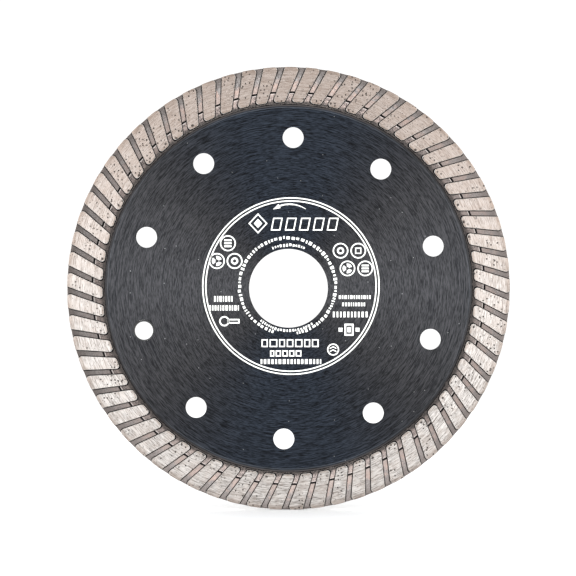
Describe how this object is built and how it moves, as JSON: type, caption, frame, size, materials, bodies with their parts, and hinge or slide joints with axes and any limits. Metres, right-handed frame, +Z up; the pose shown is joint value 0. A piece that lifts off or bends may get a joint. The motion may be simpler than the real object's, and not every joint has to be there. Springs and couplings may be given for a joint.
{
  "type": "diamond cutting disc",
  "caption": "Round diamond cutting disc for an angle grinder: dark steel core with a central bore and cooling holes, and a slant-grooved diamond rim.",
  "frame": {"origin": "centre of the bore, at the middle of the disc's thickness", "axes": "+Y along the spindle axis, away from the marked face, which looks to -Y; +Z up, with the rotation arrow above the bore"},
  "size_m": [0.125, 0.0022, 0.125],
  "materials": {
    "core_lacquer": "satin",
    "bond_metal": "matte",
    "sintered_rim": null,
    "marking_ink": "matte"
  },
  "bodies": {
    "root": {"steel_core": "core_lacquer", "bond_ring": "bond_metal", "diamond_rim": "sintered_rim"}
  },
  "joints": []
}
